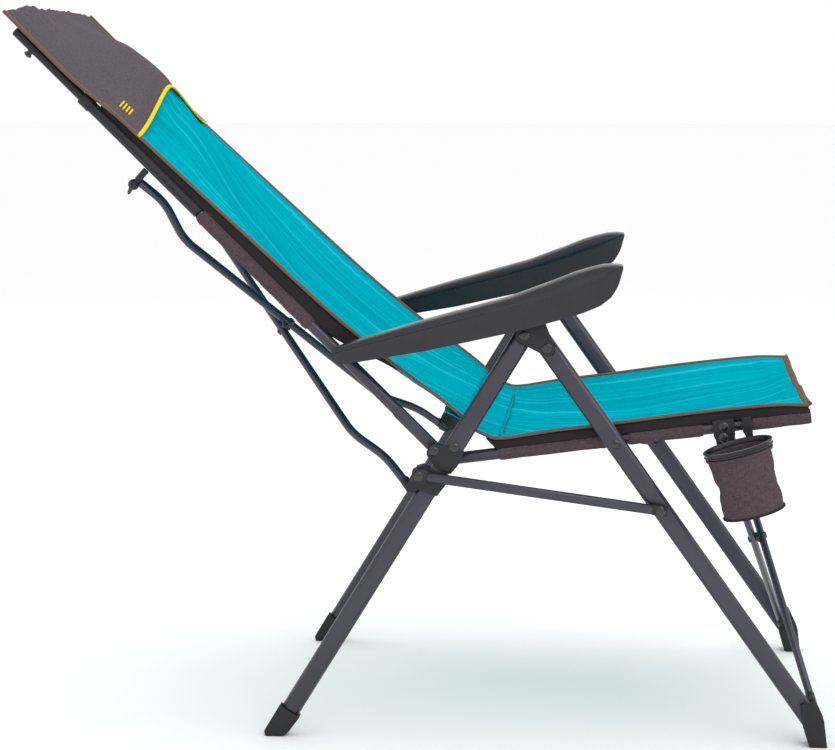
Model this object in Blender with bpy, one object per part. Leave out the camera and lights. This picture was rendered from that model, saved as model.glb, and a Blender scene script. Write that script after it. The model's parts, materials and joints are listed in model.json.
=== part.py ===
"""Folding camp lounge chair: umbrella-fold side frames, crossed braces, sling seat and back.

Metres, +Z up, ground at z = 0. The chair faces -Y. Each side frame lies in planes of
constant X, so its parts are drawn with two side-view values: d, the distance forward
of the rear foot, and z, the height. "right" is the sitter's right, at -X.
"""
import math

import bmesh
import bpy
from mathutils import Vector

# Where the side view's d = 0 and the chair's middle plane lie in the part's own frame.
FORWARD_ORIGIN = 0.2164
MIDDLE_X = 0.0322

# Layers across the chair: distances of each layer's centre from the middle plane.
BRACE_X = 0.2590
TUBE_X = 0.2720
LEG_X = 0.2930
LINK_X = 0.3125
SLIDER_INNER_X = 0.2827
SLIDER_OUTER_X = 0.3034
PLATE_INNER_X = 0.3010
PLATE_OUTER_X = 0.3045
ARMREST_INNER_X = 0.2825
ARMREST_OUTER_X = 0.3275

# Sections.
TUBE_RADIUS = 0.0090
TUBE_WALL = 0.0014
LEG_WIDTH = 0.0290
LEG_THICKNESS = 0.0150
LEG_WALL = 0.0014
LINK_WIDTH = 0.0160
LINK_THICKNESS = 0.0120
FRONT_BRACE_RADIUS = 0.0060
REAR_BRACE_RADIUS = 0.0065
REAR_BRACE_BOW = 0.0270
BRACE_ARM_RADIUS = 0.0058
SOCKET_RADIUS = 0.0085
FIT_GAP = 0.0004
BRACE_GAP = 0.0012
SPACER_HALF = 0.0009
SPACER_RADIUS = 0.0060
SHANK_RADIUS = 0.0030
HOLE_RADIUS = 0.0036
HEAD_RADIUS = 0.0070
HEAD_HEIGHT = 0.0026
HALF_BORE = 0.0450

# Side view, rest pose: leg hinges under the armrest, and the feet.
FRONT_HINGE = (0.4145, 0.6017)
REAR_HINGE = (0.3802, 0.6209)
FRONT_FOOT_HINGE = (0.8200, 0.0290)
REAR_FOOT = (0.0, 0.0)
REAR_LEG_LIFT = 0.0140
FRONT_LEG_TOP = 0.0160
REAR_LEG_TOP = 0.0140
RAIL_PIVOT_DOWN_LEG = 0.1760
LINK_PIVOT_DOWN_LEG = 0.2950
RAIL_END_DOWN_LEG = 0.2265
RECLINE_DOWN_LEG = 0.2206
LINK_END_DOWN_LEG = 0.2625
BRACE_END_DOWN_LEG = 0.2867
BEHIND_LEG = 0.0231
RAIL_RISE = math.radians(7.6)
RAIL_LENGTH = 0.5450
RAIL_TAIL = 0.0080
BACK_LEAN = math.radians(44.8)
BACK_LENGTH = 0.8850
BACK_STEP = 0.7420
BRACE_ARM_UP_BACK = 0.6015
BRACE_ARM_LENGTH = 0.0420
BRACE_FOOT_PIVOT = 0.0280
BRACE_RAIL_PIVOT = (0.6799, 0.4616)
BACK_BORE = 0.0120
EXTENSION_OVERLAP = 0.0600
STOP_PLATE_LENGTH = 0.0780
STOP_PLATE_RADIUS = 0.0085

# Slider outlines: (down the leg from the pivot, behind the leg's middle line).
UPPER_SLIDER = ((-0.0106, 0.0276), (-0.0030, 0.0315), (0.0057, 0.0320), (0.0105, 0.0289), (0.0163, 0.0171),
                (0.0198, 0.0085), (0.0205, -0.0020), (0.0160, -0.0165), (0.0010, -0.0190), (-0.0083, -0.0190),
                (-0.0210, -0.0162), (-0.0256, -0.0032), (-0.0259, 0.0039), (-0.0145, 0.0145))
LOWER_SLIDER = ((-0.0070, 0.0330), (-0.0150, 0.0260), (-0.0170, 0.0120), (-0.0170, -0.0190),
                (-0.0109, -0.0195), (0.0137, -0.0168), (0.0190, -0.0020), (0.0200, 0.0120),
                (0.0290, 0.0170), (0.0310, 0.0240), (0.0270, 0.0300), (0.0080, 0.0330))

# Armrest, measured along its sloping top from the rear tip.
ARMREST_TIP = (0.0930, 0.5990)
ARMREST_SLOPE = math.radians(15.0)
ARMREST_WALL = 0.0022
ARMREST_TOP = ((0.0, 0.0), (0.140, 0.006), (0.300, 0.008), (0.350, 0.016), (0.400, 0.020), (0.4480, 0.0105))
ARMREST_BOTTOM = ((0.4500, 0.0000), (0.4410, -0.0240), (0.4250, -0.0385), (0.280, -0.0430), (0.150, -0.0380),
                  (0.012, -0.0250))

# Feet.
HALF_FOOT_DEPTH = 0.0165
FOOT_BLOCK_HEIGHT = 0.0420
FOOT_SHOULDER = 0.0080
REAR_CAP_LENGTH = 0.0460
REAR_CAP_WALL = 0.0032
HALF_CAP_THICKNESS = 0.0105

# Soft parts.
FABRIC_HALF_WIDTH = 0.2780
HEADREST_HALF_WIDTH = 0.2600
FABRIC_THICKNESS = 0.0040
HEADREST_THICKNESS = 0.0150
SEAT_STAND_OFF = 0.0240
BACK_STAND_OFF = 0.0380
HEADREST_STAND_OFF = 0.0120
SEAT_SAG = 0.0300
BACK_SAG = 0.0260
HEADREST_SAG = 0.0100
SEAT_START = 0.1100
BACK_START = 0.0900
BACK_END = 0.6200
HEADREST_START = 0.6400

# Cup holder.
CUP_RADIUS = 0.0520
CUP_DEPTH = 0.0980
CUP_TILT = math.radians(15.0)
CUP_X = 0.3400
CUP_D = 0.6960
CUP_Z = 0.4620
CUP_WALL = 0.0018
RIM_HALF_HEIGHT = 0.0045
RIM_DEPTH = 0.0030
POUCH_TAPER = 0.0060
POUCH_MOUTH = 0.0035
CLIP_POINT = (0.7031, 0.4837)

MATERIALS = {
    "frame_paint": ((0.085, 0.085, 0.10), 0.42, 0.7),
    "armrest_plastic": ((0.035, 0.035, 0.042), 0.35, 0.0),
    "joint_plastic": ((0.02, 0.02, 0.023), 0.5, 0.0),
    "rivet_steel": ((0.02, 0.02, 0.022), 0.2, 0.8),
    "teal_mesh": ((0.0, 0.42, 0.52), 0.8, 0.0),
    "brown_fabric": ((0.14, 0.11, 0.11), 0.9, 0.0),
}


def clear_scene():
    for item in list(bpy.data.objects):
        bpy.data.objects.remove(item, do_unlink=True)


def make_materials():
    made = {}
    for name, (color, roughness, metallic) in MATERIALS.items():
        material = bpy.data.materials.new(name)
        material.use_nodes = True
        shader = material.node_tree.nodes["Principled BSDF"]
        shader.inputs["Base Color"].default_value = (*color, 1.0)
        shader.inputs["Roughness"].default_value = roughness
        shader.inputs["Metallic"].default_value = metallic
        made[name] = material
    return made


def unit(angle):
    return Vector((math.cos(angle), math.sin(angle)))


def place(point, x):
    """Side-view point (d, z) at a distance x from the middle plane, in the part's frame."""
    return Vector((MIDDLE_X + x, FORWARD_ORIGIN - point[0], point[1]))


def finish_mesh(name, shape, material, pivot, smooth_angle=40.0):
    bmesh.ops.recalc_face_normals(shape, faces=shape.faces)
    bmesh.ops.translate(shape, verts=shape.verts, vec=-pivot)
    mesh = bpy.data.meshes.new(name)
    shape.to_mesh(mesh)
    shape.free()
    mesh.shade_smooth()
    mesh.set_sharp_from_angle(angle=math.radians(smooth_angle))
    item = bpy.data.objects.new(name, mesh)
    item.location = pivot
    item.data.materials.append(MADE[material])
    bpy.context.scene.collection.objects.link(item)
    return item


def round_section(radius, sides=14):
    return [unit(2 * math.pi * i / sides) * radius for i in range(sides)]


def oval_section(thickness, width, steps=5):
    """Flat-oval loop: thickness along the plane's normal, width along its other axis."""
    radius = thickness / 2
    straight = width / 2 - radius
    loop = []
    for sign in (1, -1):
        for i in range(steps + 1):
            angle = math.pi * i / steps + (0 if sign > 0 else math.pi)
            loop.append(Vector((math.cos(angle) * radius, math.sin(angle) * radius + sign * straight)))
    return loop


def sweep(name, path, normal, section, material, pivot, inner=None):
    """Solid or hollow bar along a path that lies in the plane with the given normal."""
    shape = bmesh.new()
    normal = normal.normalized()
    rings = []
    for i, point in enumerate(path):
        before = path[max(i - 1, 0)]
        after = path[min(i + 1, len(path) - 1)]
        across = (after - before).normalized().cross(normal)
        loops = [section] if inner is None else [section, inner]
        rings.append([[shape.verts.new(point + normal * p[0] + across * p[1]) for p in loop]
                      for loop in loops])
    count = len(section)
    for first, second in zip(rings, rings[1:]):
        for loop_a, loop_b in zip(first, second):
            for k in range(count):
                nxt = (k + 1) % count
                shape.faces.new((loop_a[k], loop_a[nxt], loop_b[nxt], loop_b[k]))
    for ring in (rings[0], rings[-1]):
        if inner is None:
            shape.faces.new(ring[0])
            continue
        for k in range(count):
            nxt = (k + 1) % count
            shape.faces.new((ring[0][k], ring[0][nxt], ring[1][nxt], ring[1][k]))
    return finish_mesh(name, shape, material, pivot)


def round_tube(name, path, normal, radius, material, pivot, sides=14):
    inner = round_section(radius - TUBE_WALL, sides)
    return sweep(name, path, normal, round_section(radius, sides), material, pivot, inner)


def prism(name, outline, x_low, x_high, material, pivot):
    """Side-view outline extruded across the chair."""
    shape = bmesh.new()
    low = [shape.verts.new(place(point, x_low)) for point in outline]
    high = [shape.verts.new(place(point, x_high)) for point in outline]
    shape.faces.new(low)
    shape.faces.new(list(reversed(high)))
    for k in range(len(outline)):
        nxt = (k + 1) % len(outline)
        shape.faces.new((low[k], high[k], high[nxt], low[nxt]))
    return finish_mesh(name, shape, material, pivot, 30.0)


def turned(name, centre, axis, profile, material, sides=16):
    """Solid of revolution: profile is a list of (distance along the axis, radius)."""
    shape = bmesh.new()
    axis = axis.normalized()
    side_a = axis.orthogonal().normalized()
    side_b = axis.cross(side_a)
    rings = []
    for distance, radius in profile:
        ring = []
        for i in range(sides):
            spoke = unit(2 * math.pi * i / sides) * radius
            ring.append(shape.verts.new(centre + axis * distance + side_a * spoke.x + side_b * spoke.y))
        rings.append(ring)
    for first, second in zip(rings, rings[1:]):
        for k in range(sides):
            nxt = (k + 1) % sides
            shape.faces.new((first[k], first[nxt], second[nxt], second[k]))
    shape.faces.new(rings[0])
    shape.faces.new(rings[-1])
    return finish_mesh(name, shape, material, centre)


def cut(item, cutter):
    cutter.hide_render = True
    cutter.display_type = "WIRE"
    modifier = item.modifiers.new("cut", "BOOLEAN")
    modifier.operation = "DIFFERENCE"
    modifier.object = cutter


def drill(item, point, side, radius=HOLE_RADIUS):
    """Round hole right through a side-frame part, across the chair."""
    centre = place(point, side * LEG_X)
    profile = [(-HALF_BORE, radius), (HALF_BORE, radius)]
    cut(item, turned("hole_cutter", centre, Vector((1, 0, 0)), profile, "joint_plastic"))


def along(start, end, distance):
    start = Vector(start)
    return start + (Vector(end) - start).normalized() * distance


def behind_rear_leg(distance, offset):
    """Side-view point at a distance down the rear leg and an offset behind its middle line."""
    direction = (Vector(REAR_FOOT) - Vector(REAR_HINGE)).normalized()
    rearward = Vector((direction.y, -direction.x))
    return Vector(REAR_HINGE) + direction * distance + rearward * offset


def circle(centre, radius, start, end, steps):
    angles = [start + (end - start) * i / steps for i in range(steps + 1)]
    return [Vector(centre) + unit(angle) * radius for angle in angles]


RAIL_PIVOT = along(FRONT_HINGE, FRONT_FOOT_HINGE, RAIL_PIVOT_DOWN_LEG)
LINK_PIVOT = along(FRONT_HINGE, FRONT_FOOT_HINGE, LINK_PIVOT_DOWN_LEG)
RAIL_END = behind_rear_leg(RAIL_END_DOWN_LEG, 0)
RECLINE_PIVOT = behind_rear_leg(RECLINE_DOWN_LEG, BEHIND_LEG)
LINK_END = behind_rear_leg(LINK_END_DOWN_LEG, BEHIND_LEG)
BRACE_END = behind_rear_leg(BRACE_END_DOWN_LEG, BEHIND_LEG)
RAIL_DIRECTION = unit(RAIL_RISE)
BACK_DIRECTION = unit(math.pi - BACK_LEAN)
BACK_FRONTWARD = Vector((BACK_DIRECTION.y, -BACK_DIRECTION.x))
BRACE_SOCKET = RECLINE_PIVOT + BACK_DIRECTION * BRACE_ARM_UP_BACK - BACK_FRONTWARD * BRACE_ARM_LENGTH
FOOT_BRACE_PIVOT = along(FRONT_FOOT_HINGE, BRACE_RAIL_PIVOT, BRACE_FOOT_PIVOT)
ACROSS = Vector((1, 0, 0))


def leg(name, top, bottom, overshoot, side):
    """Hollow flat-oval leg with a rounded look at the top, from above its hinge to its foot."""
    start = along(top, bottom, -overshoot)
    path = [place(start, side * LEG_X), place(bottom, side * LEG_X)]
    outer = oval_section(LEG_THICKNESS, LEG_WIDTH)
    inner = oval_section(LEG_THICKNESS - 2 * LEG_WALL, LEG_WIDTH - 2 * LEG_WALL)
    return sweep(name, path, ACROSS, outer, "frame_paint", place(top, side * LEG_X), inner)


def rivet(name, point, side, x_inner, shoulder=None, x_outer=SLIDER_OUTER_X):
    """Shouldered rivet across the chair; distances are measured outward from the middle plane."""
    profile = [(x_inner - HEAD_HEIGHT, HEAD_RADIUS * 0.8), (x_inner - FIT_GAP, HEAD_RADIUS)]
    profile.append((x_inner - FIT_GAP, SHANK_RADIUS))
    if shoulder:
        profile += [(shoulder[0], SHANK_RADIUS), (shoulder[0], HEAD_RADIUS * 0.9)]
        profile += [(shoulder[1], HEAD_RADIUS * 0.9), (shoulder[1], SHANK_RADIUS)]
    profile += [(x_outer + FIT_GAP, SHANK_RADIUS), (x_outer + FIT_GAP, HEAD_RADIUS)]
    profile += [(x_outer + HEAD_HEIGHT * 0.6, HEAD_RADIUS * 0.85), (x_outer + HEAD_HEIGHT, HEAD_RADIUS * 0.4)]
    return turned(name, place(point, 0), Vector((side, 0, 0)), profile, "rivet_steel")


def slider(name, pivot_distance, outline, side):
    """Plastic sleeve that slides on the rear leg; its lug behind the leg carries the pivots."""
    points = [behind_rear_leg(pivot_distance + down, behind) for down, behind in outline]
    x_range = sorted((side * SLIDER_INNER_X, side * SLIDER_OUTER_X))
    pivot = place(behind_rear_leg(pivot_distance, 0), side * LEG_X)
    body = prism(name, points, *x_range, "joint_plastic", pivot)
    ends = (pivot_distance - HALF_BORE, pivot_distance + HALF_BORE)
    path = [place(behind_rear_leg(distance, 0), side * LEG_X) for distance in ends]
    channel = oval_section(LEG_THICKNESS + 2 * FIT_GAP, LEG_WIDTH + 2 * FIT_GAP)
    cut(body, sweep("channel_cutter", path, ACROSS, channel, "joint_plastic", pivot))


def side_legs(word, side):
    front = leg(word + "_front_leg", FRONT_HINGE, FRONT_FOOT_HINGE, FRONT_LEG_TOP, side)
    drill(front, FRONT_HINGE, side)
    drill(front, RAIL_PIVOT, side)
    drill(front, LINK_PIVOT, side)
    rear_end = along(REAR_FOOT, REAR_HINGE, REAR_LEG_LIFT)
    rear = leg(word + "_rear_leg", REAR_HINGE, rear_end, REAR_LEG_TOP, side)
    drill(rear, REAR_HINGE, side)


def armrest_outline(inset, drop):
    """Side profile along the armrest, from its rear tip forward; drop lowers the open bottom."""
    slope = unit(ARMREST_SLOPE)
    up = Vector((-slope.y, slope.x))
    points = [(a, b - inset) for a, b in ARMREST_TOP]
    points += [(a, b - drop) for a, b in ARMREST_BOTTOM]
    middle = ARMREST_TOP[-1][0] / 2
    shrink = 1 - inset / middle * 2
    points = [(middle + (a - middle) * shrink, b) for a, b in points]
    return [Vector(ARMREST_TIP) + slope * a + up * b for a, b in points]


def side_armrest(word, side):
    pivot = place(REAR_HINGE, side * LEG_X)
    x_range = sorted((side * ARMREST_INNER_X, side * ARMREST_OUTER_X))
    body = prism(word + "_armrest", armrest_outline(0.0, 0.0), *x_range, "armrest_plastic", pivot)
    inner, outer = ARMREST_INNER_X + ARMREST_WALL, ARMREST_OUTER_X - ARMREST_WALL
    x_range = sorted((side * inner, side * outer))
    roof, open_bottom = 0.0035, 0.0300
    hollow = prism("armrest_cutter", armrest_outline(roof, open_bottom), *x_range, "armrest_plastic", pivot)
    cut(body, hollow)


def side_bracket(word, side):
    """Flat plate that joins both leg hinges and rises into the armrest."""
    front = Vector(FRONT_HINGE)
    rear = Vector(REAR_HINGE)
    outline = circle(front, 0.0115, math.radians(-110), math.radians(30), 7)
    outline += [rear + Vector((0.0280, 0.0260)), rear + Vector((-0.0050, 0.0190))]
    outline += circle(rear, 0.0130, math.radians(150), math.radians(240), 5)
    x_range = sorted((side * PLATE_INNER_X, side * PLATE_OUTER_X))
    plate = prism(word + "_armrest_bracket", outline, *x_range, "joint_plastic", place(front, side * LEG_X))
    drill(plate, front, side)
    drill(plate, rear, side)


def side_tubes(word, side):
    def up_back(distance):
        return place(RECLINE_PIVOT + BACK_DIRECTION * distance, side * TUBE_X)

    start = RAIL_END - RAIL_DIRECTION * RAIL_TAIL
    end = RAIL_END + RAIL_DIRECTION * RAIL_LENGTH
    path = [place(start, side * TUBE_X), place(end, side * TUBE_X)]
    pivot = place(RAIL_END, side * TUBE_X)
    rail = round_tube(word + "_seat_rail", path, ACROSS, TUBE_RADIUS, "frame_paint", pivot)
    drill(rail, RAIL_PIVOT, side)
    path = [up_back(0.0), up_back(BACK_STEP)]
    back = round_tube(word + "_back_tube", path, ACROSS, TUBE_RADIUS, "frame_paint", up_back(0.0))
    drill(back, RECLINE_PIVOT + BACK_DIRECTION * BACK_BORE, side)
    path = [up_back(BACK_STEP - EXTENSION_OVERLAP), up_back(BACK_LENGTH)]
    radius = TUBE_RADIUS - TUBE_WALL - FIT_GAP
    round_tube(word + "_back_extension", path, ACROSS, radius, "joint_plastic", up_back(0.0))


def stop_plate(word, side):
    """Steel plate beside the lower end of the back tube: it turns as the chair folds, and the
    back tube leans on its stops when the back is reclined or raised."""
    far = RECLINE_PIVOT + BACK_DIRECTION * STOP_PLATE_LENGTH
    heading = math.pi - BACK_LEAN
    quarter = math.pi / 2
    outline = circle(far, STOP_PLATE_RADIUS, heading - quarter, heading + quarter, 6)
    outline += circle(RECLINE_PIVOT, STOP_PLATE_RADIUS, heading + quarter, heading + 3 * quarter, 6)
    x_range = sorted((side * (TUBE_X + TUBE_RADIUS + FIT_GAP / 2), side * (SLIDER_INNER_X - FIT_GAP / 2)))
    prism(word + "_stop_plate", outline, *x_range, "frame_paint", place(RECLINE_PIVOT, side * TUBE_X))


def side_pivots(word, side):
    """Sliders on the rear leg, and the turned rivets of one side frame."""
    leg_inner = LEG_X - LEG_THICKNESS / 2
    leg_outer = LEG_X + LEG_THICKNESS / 2
    slider(word + "_upper_slider", RECLINE_DOWN_LEG, UPPER_SLIDER, side)
    slider(word + "_lower_slider", LINK_END_DOWN_LEG, LOWER_SLIDER, side)
    rivet(word + "_front_hinge_rivet", FRONT_HINGE, side, leg_inner, None, PLATE_OUTER_X)
    rivet(word + "_rear_hinge_rivet", REAR_HINGE, side, leg_inner, None, PLATE_OUTER_X)
    spacer = (leg_outer + FIT_GAP, LINK_X - LINK_THICKNESS / 2 - FIT_GAP)
    rivet(word + "_link_rivet", LINK_PIVOT, side, leg_inner, spacer, LINK_X + LINK_THICKNESS / 2)
    cap_start = SLIDER_OUTER_X + FIT_GAP
    cap = [(cap_start, HEAD_RADIUS * 1.1), (cap_start + HEAD_HEIGHT * 0.3, HEAD_RADIUS * 1.1),
           (cap_start + HEAD_HEIGHT * 0.8, HEAD_RADIUS * 0.6)]
    turned(word + "_recline_cap", place(RECLINE_PIVOT, 0), Vector((side, 0, 0)), cap, "rivet_steel")
    stud = [(TUBE_X + TUBE_RADIUS + FIT_GAP, HEAD_RADIUS), (leg_inner - FIT_GAP, HEAD_RADIUS),
            (leg_inner - FIT_GAP, SHANK_RADIUS), (leg_outer + FIT_GAP, SHANK_RADIUS),
            (leg_outer + FIT_GAP, HEAD_RADIUS), (leg_outer + HEAD_HEIGHT, HEAD_RADIUS * 0.5)]
    turned(word + "_rail_rivet", place(RAIL_PIVOT, 0), Vector((side, 0, 0)), stud, "rivet_steel")


def side_link(word, side):
    beyond_pivot = -0.0100
    tail = along(LINK_END, LINK_PIVOT, beyond_pivot)
    nose = along(LINK_PIVOT, LINK_END, beyond_pivot)
    path = [place(tail, side * LINK_X), place(nose, side * LINK_X)]
    outer = oval_section(LINK_THICKNESS, LINK_WIDTH)
    inner = oval_section(LINK_THICKNESS - 2 * LEG_WALL, LINK_WIDTH - 2 * LEG_WALL)
    pivot = place(LINK_PIVOT, side * LINK_X)
    bar = sweep(word + "_side_link", path, ACROSS, outer, "frame_paint", pivot, inner)
    drill(bar, LINK_PIVOT, side)


def brace_frame(bottom, top):
    """Plane of a crossed brace: its up direction and its rearward-facing normal."""
    up = (place(top, 0) - place(bottom, 0)).normalized()
    return up, up.cross(ACROSS).normalized()


def foot_block_outline():
    """Side view of a front foot: a sole a little wider than the hinge block above it."""
    up = (Vector(BRACE_RAIL_PIVOT) - Vector(FRONT_FOOT_HINGE)).normalized()
    forward = Vector((up.y, -up.x))
    hinge = Vector(FRONT_FOOT_HINGE)
    heel = hinge - forward * HALF_FOOT_DEPTH
    toe = hinge + forward * HALF_FOOT_DEPTH
    outline = [Vector((heel.x + 0.0075, 0.0)), Vector((toe.x + 0.0030, 0.0)), toe + up * FOOT_SHOULDER]
    outline.append(hinge + forward * 0.0120 + up * FOOT_BLOCK_HEIGHT)
    outline.append(hinge - forward * 0.0100 + up * FOOT_BLOCK_HEIGHT)
    outline.append(heel + up * FOOT_SHOULDER)
    return outline


def side_feet(word, side):
    """Moulded feet: the front one carries the front brace, the rear one is a cup on the leg."""
    pivot = place(FRONT_FOOT_HINGE, side * LEG_X)
    x_range = sorted((side * (BRACE_X + 0.0090), side * (LEG_X + 0.0110)))
    block = prism(word + "_front_foot", foot_block_outline(), *x_range, "joint_plastic", pivot)
    hinge = Vector(FRONT_FOOT_HINGE)
    direction = (hinge - Vector(FRONT_HINGE)).normalized()
    path = [place(hinge + direction * distance, side * LEG_X) for distance in (-0.0800, 0.0155)]
    slot = oval_section(LEG_THICKNESS + 4 * FIT_GAP, 3 * LEG_WIDTH)
    cut(block, sweep("leg_cutter", path, ACROSS, slot, "joint_plastic", pivot))
    down = (Vector(REAR_FOOT) - Vector(REAR_HINGE)).normalized()
    top = Vector(REAR_FOOT) - down * REAR_CAP_LENGTH
    level = Vector((down.y, -down.x)) * (LEG_WIDTH / 2 + REAR_CAP_WALL)
    outline = [Vector((-0.0140, 0.0)), Vector((0.0150, 0.0)), Vector((0.0230, FOOT_SHOULDER))]
    outline += [top - level, top + level, Vector((-0.0155, FOOT_SHOULDER))]
    x_range = sorted((side * (LEG_X - HALF_CAP_THICKNESS), side * (LEG_X + HALF_CAP_THICKNESS)))
    pivot = place(REAR_FOOT, side * LEG_X)
    cap = prism(word + "_rear_foot", outline, *x_range, "joint_plastic", pivot)
    bottom = along(REAR_FOOT, REAR_HINGE, REAR_LEG_LIFT - FIT_GAP)
    path = [place(top - down * 0.0100, side * LEG_X), place(bottom, side * LEG_X)]
    socket = oval_section(LEG_THICKNESS + 2 * FIT_GAP, LEG_WIDTH + 2 * FIT_GAP)
    cut(cap, sweep("socket_cutter", path, ACROSS, socket, "joint_plastic", pivot))


def front_braces():
    """Two crossed bars from each front foot to the opposite seat rail, with a spacer between."""
    normal = brace_frame(FOOT_BRACE_PIVOT, BRACE_RAIL_PIVOT)[1]
    for side, word in ((-1, "right"), (1, "left")):
        offset = normal * side * (FRONT_BRACE_RADIUS + BRACE_GAP)
        low = place(FOOT_BRACE_PIVOT, side * BRACE_X) + offset
        high = place(BRACE_RAIL_PIVOT, -side * BRACE_X) + offset
        run = (high - low).normalized()
        path = [low - run * 0.0030, high - run * 0.0060]
        round_tube(word + "_front_brace", path, normal, FRONT_BRACE_RADIUS, "frame_paint", low)
    centre = (place(FOOT_BRACE_PIVOT, 0) + place(BRACE_RAIL_PIVOT, 0)) / 2
    spacer("front_brace_rivet", centre, normal)


def side_rail_bracket(word, side):
    """Saddle under the seat rail with the lug for the front brace."""
    along_rail = (Vector(BRACE_RAIL_PIVOT) - RAIL_END).dot(RAIL_DIRECTION)
    middle = RAIL_END + RAIL_DIRECTION * along_rail
    upward = Vector((-RAIL_DIRECTION.y, RAIL_DIRECTION.x))
    outline = [middle + RAIL_DIRECTION * a + upward * b for a, b in (
        (-0.0160, 0.0115), (-0.0160, -0.0130), (-0.0090, -0.0290), (0.0090, -0.0290),
        (0.0160, -0.0130), (0.0160, 0.0115))]
    x_range = sorted((side * (TUBE_X - 0.0052), side * (TUBE_X + 0.0112)))
    saddle = prism(word + "_rail_bracket", outline, *x_range, "joint_plastic", place(middle, side * TUBE_X))
    path = [place(middle + RAIL_DIRECTION * a, side * TUBE_X) for a in (-0.03, 0.03)]
    bore = round_section(TUBE_RADIUS + FIT_GAP)
    cut(saddle, sweep("rail_cutter", path, ACROSS, bore, "joint_plastic", path[0]))


def brace_arm(word, side):
    """Short arm behind the back tube, and the ball that holds the top of a rear brace."""
    root = RECLINE_PIVOT + BACK_DIRECTION * BRACE_ARM_UP_BACK
    start = root - BACK_FRONTWARD * (TUBE_RADIUS + 4 * FIT_GAP)
    end = root - BACK_FRONTWARD * (BRACE_ARM_LENGTH - SOCKET_RADIUS * 1.2)
    path = [place(start, side * (TUBE_X - 0.0010)), place(end, side * (BRACE_X + 0.0030))]
    section = round_section(BRACE_ARM_RADIUS, 10)
    sweep(word + "_brace_arm", path, ACROSS, section, "joint_plastic", path[0])
    ball = []
    for i in range(9):
        angle = math.pi * (i / 8 - 0.5) * 0.96
        ball.append((math.sin(angle) * SOCKET_RADIUS, math.cos(angle) * SOCKET_RADIUS))
    turned(word + "_brace_socket", place(BRACE_SOCKET, side * BRACE_X), ACROSS, ball, "joint_plastic", 14)


def rear_braces():
    """Two crossed tubes from an arm on each back tube down to the opposite lower slider. Both
    are bent near their ends, so that they cross well behind the sling."""
    normal = brace_frame(BRACE_END, BRACE_SOCKET)[1]
    bow = normal * REAR_BRACE_BOW
    for side, word in ((-1, "right"), (1, "left")):
        brace_arm(word, side)
        centre = place(BRACE_SOCKET, side * BRACE_X)
        offset = normal * side * (REAR_BRACE_RADIUS + BRACE_GAP)
        high = centre + offset
        low = place(BRACE_END, -side * BRACE_X) + offset
        run = (low - high).normalized()
        path = [high + run * 0.0135, high + run * 0.0620, high + run * 0.1370 + bow,
                low - run * 0.1500 + bow, low - run * 0.0720 + bow * 0.15, low + run * 0.0050]
        plane = run.cross(normal)
        round_tube(word + "_rear_brace", path, plane, REAR_BRACE_RADIUS, "frame_paint", centre, 12)
    middle = (place(BRACE_SOCKET, 0) + place(BRACE_END, 0)) / 2
    spacer("rear_brace_rivet", middle + bow, normal)


def spacer(name, centre, normal):
    """Short pin through the gap between two crossed bars."""
    turned(name, centre, normal, [(-SPACER_HALF, SPACER_RADIUS), (SPACER_HALF, SPACER_RADIUS)], "rivet_steel")


def sling(name, profile, half_width, thickness, material, pivot, sag):
    """Closed fabric slab across the chair; profile runs front to rear in the side view."""
    shape = bmesh.new()
    columns = 8
    rows = []
    for point, normal in profile:
        top_row = []
        bottom_row = []
        for i in range(columns + 1):
            t = 2 * i / columns - 1
            drop = normal * sag * (1 - t * t)
            top_row.append(shape.verts.new(place(point - drop, t * half_width)))
            bottom_row.append(shape.verts.new(place(point - drop - normal * thickness, t * half_width)))
        rows.append((top_row, bottom_row))
    for (top_a, low_a), (top_b, low_b) in zip(rows, rows[1:]):
        for i in range(columns):
            shape.faces.new((top_a[i], top_a[i + 1], top_b[i + 1], top_b[i]))
            shape.faces.new((low_a[i], low_b[i], low_b[i + 1], low_a[i + 1]))
        shape.faces.new((top_a[0], top_b[0], low_b[0], low_a[0]))
        shape.faces.new((top_a[-1], low_a[-1], low_b[-1], top_b[-1]))
    for top_row, low_row in (rows[0], rows[-1]):
        for i in range(columns):
            shape.faces.new((top_row[i], top_row[i + 1], low_row[i + 1], low_row[i]))
    return finish_mesh(name, shape, material, pivot)


def sling_profile(origin, direction, facing, stand_off, start, end, steps):
    """Side-view points along a sling's edge, each with the direction that the fabric faces."""
    points = []
    for i in range(steps + 1):
        distance = start + (end - start) * i / steps
        points.append((origin + direction * distance + facing * stand_off, facing))
    return points


def soft_parts():
    """Plain closed slabs for the seat, the back and the headrest."""
    seat_up = Vector((-RAIL_DIRECTION.y, RAIL_DIRECTION.x))
    rail = place(RAIL_END, -TUBE_X)
    hinge = place(RECLINE_PIVOT, -TUBE_X)
    seat = sling_profile(RAIL_END, RAIL_DIRECTION, seat_up, SEAT_STAND_OFF, SEAT_START, RAIL_LENGTH, 6)
    turn = RECLINE_PIVOT + BACK_DIRECTION * BACK_START + BACK_FRONTWARD * BACK_STAND_OFF
    between = seat_up + BACK_FRONTWARD
    seat.insert(0, (turn.lerp(seat[0][0], 0.5) - between * 0.0080, between.normalized()))
    sling("seat_fabric", seat, FABRIC_HALF_WIDTH, FABRIC_THICKNESS, "teal_mesh", rail, SEAT_SAG)
    back = sling_profile(RECLINE_PIVOT, BACK_DIRECTION, BACK_FRONTWARD, BACK_STAND_OFF,
                         BACK_START, BACK_END, 6)
    sling("back_fabric", back, FABRIC_HALF_WIDTH, FABRIC_THICKNESS, "teal_mesh", hinge, BACK_SAG)
    rest = sling_profile(RECLINE_PIVOT, BACK_DIRECTION, BACK_FRONTWARD, HEADREST_STAND_OFF,
                         HEADREST_START, BACK_LENGTH + 0.0200, 3)
    sling("headrest", rest, HEADREST_HALF_WIDTH, HEADREST_THICKNESS, "brown_fabric", hinge, HEADREST_SAG)


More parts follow.
